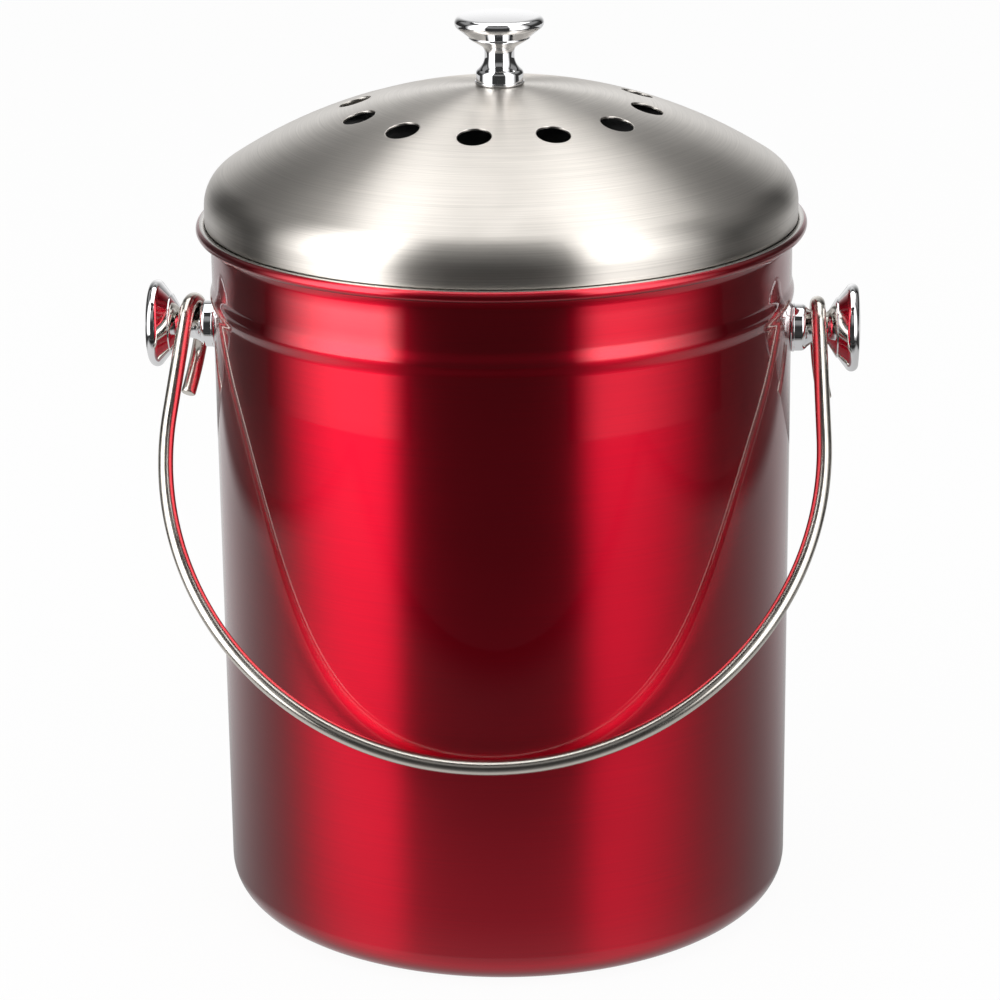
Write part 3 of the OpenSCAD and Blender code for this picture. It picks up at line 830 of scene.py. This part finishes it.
def makeBail():
    shape = bailShape
    bow = shape["bow"]
    right = bailSide(1)
    left = bailSide(-1)
    count = shape["bowSteps"]
    first = math.pi - math.radians(shape["spread"][-1])
    last = 2 * math.pi + math.radians(shape["spread"][1])
    bottom = []
    for i in range(1, count):
        t = first + (last - first) * i / count
        bottom.append(Vector((bow * math.cos(t), 0.0, -shape["bowDrop"] + bow * math.sin(t))))
    path = list(reversed(left)) + bottom + right
    legY = shape["hookBack"] - shape["hook"]
    place = (Matrix.Translation((shape["shift"], 0.0, pivotZ))
             @ Matrix.Rotation(math.radians(-shape["lean"]), 4, "X")
             @ Matrix.Translation((0.0, legY, 0.0)))
    path = [place @ p for p in path]
    source = meshFrom("bailPath", path, edges=[(i, i + 1) for i in range(len(path) - 1)])
    lengths = [0.0]
    for a, b in zip(path, path[1:]):
        lengths.append(lengths[-1] + (b - a).length)
    girth = source.attributes.new("girth", "FLOAT", "POINT")
    ease = shape["endRound"]
    for i, run in enumerate(lengths):
        near = min(run, lengths[-1] - run)
        cut = max(0.0, ease - near)
        girth.data[i].value = 1.0 - (ease - math.sqrt(max(0.0, ease ** 2 - cut ** 2))) / shape["wire"]
    piece = bakeTree("bailVisual", source, wireTree, {
        "Wire Radius": shape["wire"], "Sides": shape["sides"], "Material": wire}, 50.0)
    settle(piece, "bail", "bail_wire", "bail_handle")


makeBail()


# Charcoal filter: a round felt pad with soft edges
filterShape = {"round": 1.6 * mm, "steps": 160}


def makeFilter():
    low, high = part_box("charcoal_filter")
    ease = filterShape["round"]
    points = [(0.0, low.z)] + lineTo((0.0, low.z), (high.x - ease, low.z), 8)
    points += arc(high.x - ease, low.z + ease, ease, -90, 0, 6)
    points += arc(high.x - ease, high.z - ease, ease, 0, 90, 6)
    points += lineTo((high.x - ease, high.z), (0.0, high.z), 8)
    source = profileMesh("filterProfile", distinct(points))
    piece = bakeTree("filterVisual", source, turnedTree, {
        "Steps Around": filterShape["steps"], "Outer Material": felt, "Inner Material": felt}, 60.0)
    settle(piece, "lid", "filter_carbon", "charcoal_filter")


makeFilter()


# CAD nodes that are shown as they are, with a finish of their own
cadFinishes = {
    "filter_retainer": (plastic, "retainer_plastic"), "filter_clips": (ringSteel, "clip_steel")}
for name in ("lid_knob_screw", "lid_knob_washer", "lid_knob_lock_washer", "left_pivot_screw",
             "left_pivot_washer", "left_lock_washer", "right_pivot_screw", "right_pivot_washer",
             "right_lock_washer"):
    cadFinishes[name] = (zinc, "fastener_steel")
for name, (finish, slot) in cadFinishes.items():
    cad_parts[name].data.materials.clear()
    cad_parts[name].data.materials.append(finish)
print("stage 4: pieces built")


# Stage: camera, pale floor, soft lights and the cards that polished metal mirrors
cameraFit = {
    "distance": 1.05163797, "height": 0.47371577, "pitch": 0.31937260, "yaw": -0.00131995,
    "roll": -0.01144520, "objectTurn": 3.815, "lens": 126.805, "sensor": 36.0}


def makeCamera():
    fit = cameraFit
    cosP, sinP = math.cos(fit["pitch"]), math.sin(fit["pitch"])
    cosY, sinY = math.cos(fit["yaw"]), math.sin(fit["yaw"])
    forward = Vector((sinY * cosP, cosY * cosP, -sinP))
    right = Vector((cosY, -sinY, 0.0))
    up = right.cross(forward)
    cosR, sinR = math.cos(fit["roll"]), math.sin(fit["roll"])
    rolledRight = cosR * right + sinR * up
    rolledUp = -sinR * right + cosR * up
    turn = math.radians(fit["objectTurn"])
    axisX = Vector((math.cos(turn), -math.sin(turn), 0.0))
    axisY = Vector((math.sin(turn), math.cos(turn), 0.0))

    def inFrame(v):
        return Vector((v.dot(axisX), v.dot(axisY), v.z))

    matrix = Matrix((inFrame(rolledRight), inFrame(rolledUp), -inFrame(forward))).transposed().to_4x4()
    matrix.translation = inFrame(Vector((0.0, -fit["distance"], fit["height"])))
    data = bpy.data.cameras.new("photoCamera")
    data.sensor_width = fit["sensor"]
    data.lens = fit["lens"]
    data.dof.use_dof = False
    camera = bpy.data.objects.new("photoCamera", data)
    bpy.context.scene.collection.objects.link(camera)
    camera.matrix_world = matrix
    bpy.context.scene.camera = camera


makeCamera()

stageLook = {
    "floorGrey": 0.85, "floorShadow": 0.05, "floorHalf": 8.0, "worldGrey": 0.55,
    "shell": {"distance": 2.6, "low": -0.2, "high": 3.0, "glow": ("Z", 0.9, 1.8, 0.035, 0.28)},
    "ceiling": {"half": 2.9, "height": 3.0, "glow": 0.04},
    "apron": {"half": 2.9, "height": 0.0004, "glow": 0.04},
    "backCard": {"distance": 2.3, "from": 143, "to": 231, "low": 0.0, "high": 2.2, "glow": {
        "peak": 0.66, "rise": (0.0, 0.5), "fall": (0.5, 1.0), "foot": (0.5, 1.6), "footLevel": 1.6}},
    "leftBox": {"distance": 0.62, "from": -92, "to": -26, "low": 0.005, "high": 1.1, "glow": {
        "peak": 3.5, "rise": (0.0, 0.62), "fall": (0.82, 1.0), "foot": (0.005, 0.08),
        "footLevel": 0.12}},
    "rightBox": {"distance": 0.62, "from": 31, "to": 97, "low": 0.005, "high": 1.1, "glow": {
        "peak": 2.85, "rise": (0.0, 0.2), "fall": (0.28, 1.0), "foot": (0.03, 0.18),
        "footLevel": 0.12}},
    "topBox": {"left": -0.72, "right": 0.98, "front": -0.5, "back": 1.0, "height": 1.6, "glow": 1.9},
    "table": {"left": -0.50, "right": 0.53, "front": -0.375, "back": 0.46, "height": 0.0008, "glow": {
        "edge": 0.06, "taper": 0.25, "slant": (0.44, 0.58), "steep": (-0.24, -0.10, 0.02, 0.60),
        "grazingReflection": (-0.30, 0.35, 0.10, 0.64), "sides": (-0.25, 0.25, 1.15, 0.85)}},
    "sweep": {"left": -1.7, "right": 1.7, "front": 0.4, "back": 2.28, "height": 0.0006,
              "glow": ("Y", 0.4, 0.6, 0.04, 0.65)}}


# Rays that see a white world: the camera's, mirrored and passed-through ones
def seenRay(tree):
    path = addNode(tree, "ShaderNodeLightPath")
    shown = addMath(tree, "ADD", path.outputs["Is Camera Ray"], path.outputs["Is Glossy Ray"], True)
    return addMath(tree, "ADD", shown, path.outputs["Is Transmission Ray"], True)


def makeWorld():
    world = bpy.data.worlds.new("studioWorld")
    world.use_nodes = True
    tree = world.node_tree
    tree.nodes.clear()
    plain = addNode(tree, "ShaderNodeBackground", {"Color": (stageLook["worldGrey"],) * 3 + (1.0,)})
    white = addNode(tree, "ShaderNodeBackground", {"Color": (1.0, 1.0, 1.0, 1.0)})
    mixed = addNode(tree, "ShaderNodeMixShader", {
        0: seenRay(tree), 1: plain.outputs[0], 2: white.outputs[0]})
    addNode(tree, "ShaderNodeOutputWorld", {"Surface": mixed.outputs[0]})
    bpy.context.scene.world = world


makeWorld()


def flatMesh(name, left, right, front, back, height):
    points = [(left, front, height), (right, front, height), (right, back, height), (left, back, height)]
    return meshFrom(name, points, [(0, 1, 2, 3)])


def makeFloor():
    material, tree = newMaterial("paleFloor")
    matte = addNode(tree, "ShaderNodeBsdfDiffuse", {
        "Color": (stageLook["floorGrey"],) * 3 + (1.0,)})
    glow = addNode(tree, "ShaderNodeEmission", {"Color": (1.0, 1.0, 1.0, 1.0), "Strength": 1.0})
    share = addMath(tree, "MULTIPLY", seenRay(tree), 1.0 - stageLook["floorShadow"])
    mixed = addNode(tree, "ShaderNodeMixShader", {0: share, 1: matte.outputs[0], 2: glow.outputs[0]})
    addNode(tree, "ShaderNodeOutputMaterial", {"Surface": mixed.outputs[0]})
    half = stageLook["floorHalf"]
    floor = addObject("floor", flatMesh("floor", -half, half, -half, half, 0.0))
    floor.data.materials.append(material)


makeFloor()


# Glow of a card: one level, or (axis, from, to, level at from, level at to) along an object
# axis, or for the table a soft-edged level with a painted reflection, or for a standing strip a
# soft-sided peak
def cardGlow(tree, glow):
    if isinstance(glow, float):
        return glow
    if isinstance(glow, tuple):
        place = addNode(tree, "ShaderNodeTexCoord").outputs["Object"]
        along = addNode(tree, "ShaderNodeSeparateXYZ", {"Vector": place}).outputs[glow[0]]
        return ramp(tree, along, *glow[1:])
    if "edge" in glow:
        table = stageLook["table"]
        edge = glow["edge"]
        place = addNode(tree, "ShaderNodeTexCoord").outputs["Object"]
        spot = addNode(tree, "ShaderNodeSeparateXYZ", {"Vector": place})
        x = spot.outputs["X"]
        y = spot.outputs["Y"]
        taper = addMath(tree, "MULTIPLY", addMath(tree, "MAXIMUM", y), glow["taper"])
        left = ramp(tree, addMath(tree, "SUBTRACT", x, taper), table["left"], table["left"] + edge)
        right = ramp(tree, addMath(tree, "ADD", x, taper), table["right"] - edge, table["right"],
                     1.0, 0.0)
        front = ramp(tree, y, table["front"], table["front"] + edge)
        inside = addMath(tree, "MULTIPLY", addMath(tree, "MULTIPLY", left, right), front)
        slant = facing(tree)
        # painted reflection: the table card's glow stands for the lit table seen in the metal, brighter
        # where a mirrored ray meets it at a grazing angle, as the table mirrors the white backdrop, and
        # brighter towards the left
        grazingReflection = addMath(tree, "MULTIPLY", ramp(tree, y, *glow["grazingReflection"]),
                          ramp(tree, slant, *glow["slant"]))
        steep = addMath(tree, "MULTIPLY", ramp(tree, y, *glow["steep"]),
                        ramp(tree, slant, *glow["slant"], 1.0, 0.0))
        level = addMath(tree, "MULTIPLY", addMath(tree, "ADD", grazingReflection, steep),
                        ramp(tree, x, *glow["sides"]))
        return addMath(tree, "MULTIPLY", inside, level)
    across = addNode(tree, "ShaderNodeAttribute", attribute_name="across").outputs["Fac"]
    height = addNode(tree, "ShaderNodeAttribute", attribute_name="height").outputs["Fac"]
    sides = addMath(tree, "MULTIPLY", ramp(tree, across, *glow["rise"]),
                    ramp(tree, across, *glow["fall"], 1.0, 0.0))
    foot = ramp(tree, height, *glow["foot"], glow["footLevel"], 1.0)
    return addMath(tree, "MULTIPLY", addMath(tree, "MULTIPLY", sides, foot), glow["peak"])


# A flat or standing card that only mirrored rays see
def makeCard(name, mesh, glow):
    material, tree = newMaterial(name)
    light = addNode(tree, "ShaderNodeEmission", {
        "Color": (1.0, 1.0, 1.0, 1.0), "Strength": cardGlow(tree, glow)})
    addNode(tree, "ShaderNodeOutputMaterial", {"Surface": light.outputs[0]})
    card = addObject(name, mesh)
    card.data.materials.append(material)
    card.visible_camera = False
    card.visible_diffuse = False
    card.visible_shadow = False
    card.visible_transmission = False
    card.visible_volume_scatter = False


# A strip of a standing cylinder round the object, azimuths measured from the camera to the right
def standingStrip(name, distance, start, end, low, high, steps=48):
    points = []
    shares = []
    for i in range(steps + 1):
        t = math.radians(start + (end - start) * i / steps - cameraFit["objectTurn"])
        x = distance * math.sin(t)
        y = -distance * math.cos(t)
        points += [(x, y, low), (x, y, high)]
        shares += [i / steps, i / steps]
    faces = [(2 * i, 2 * i + 2, 2 * i + 3, 2 * i + 1) for i in range(steps)]
    mesh = meshFrom(name, points, faces)
    across = mesh.attributes.new("across", "FLOAT", "POINT")
    height = mesh.attributes.new("height", "FLOAT", "POINT")
    for i, point in enumerate(points):
        across.data[i].value = shares[i]
        height.data[i].value = point[2]
    return mesh


def makeStanding(name, look):
    mesh = standingStrip(name, look["distance"], look.get("from", -180), look.get("to", 180),
                         look["low"], look["high"])
    makeCard(name, mesh, look["glow"])


def makeFlat(name, look):
    half = look.get("half")
    sides = (-half, half, -half, half) if half else (look["left"], look["right"], look["front"],
                                                     look["back"])
    makeCard(name, flatMesh(name, *sides, look["height"]), look["glow"])


def makeStudio():
    makeStanding("darkShell", stageLook["shell"])
    makeFlat("darkCeiling", stageLook["ceiling"])
    for name in ("backCard", "leftBox", "rightBox"):
        makeStanding(name, stageLook[name])
    for name in ("topBox", "table", "sweep", "apron"):
        makeFlat(name, stageLook[name])


makeStudio()


lampLook = {
    "keyLamp": {"place": (-1.3, -1.1, 1.3), "size": 1.2, "power": 14.0},
    "fillLamp": {"place": (1.4, -0.9, 1.1), "size": 1.2, "power": 8.0},
    "topLamp": {"place": (0.0, -0.1, 1.9), "size": 1.4, "power": 10.0}}
lampAim = (0.0, 0.0, 0.12)


def addLamp(name, look):
    data = bpy.data.lights.new(name, "AREA")
    data.shape = "SQUARE"
    data.size = look["size"]
    data.energy = look["power"]
    lamp = bpy.data.objects.new(name, data)
    bpy.context.scene.collection.objects.link(lamp)
    way = Vector(lampAim) - Vector(look["place"])
    lamp.matrix_world = (Matrix.Translation(look["place"])
                         @ way.to_track_quat("-Z", "Y").to_matrix().to_4x4())
    lamp.visible_glossy = False
    lamp.visible_camera = False


for name, look in lampLook.items():
    addLamp(name, look)

bpy.context.scene.view_settings.view_transform = "Standard"
print("stage 5: stage built")
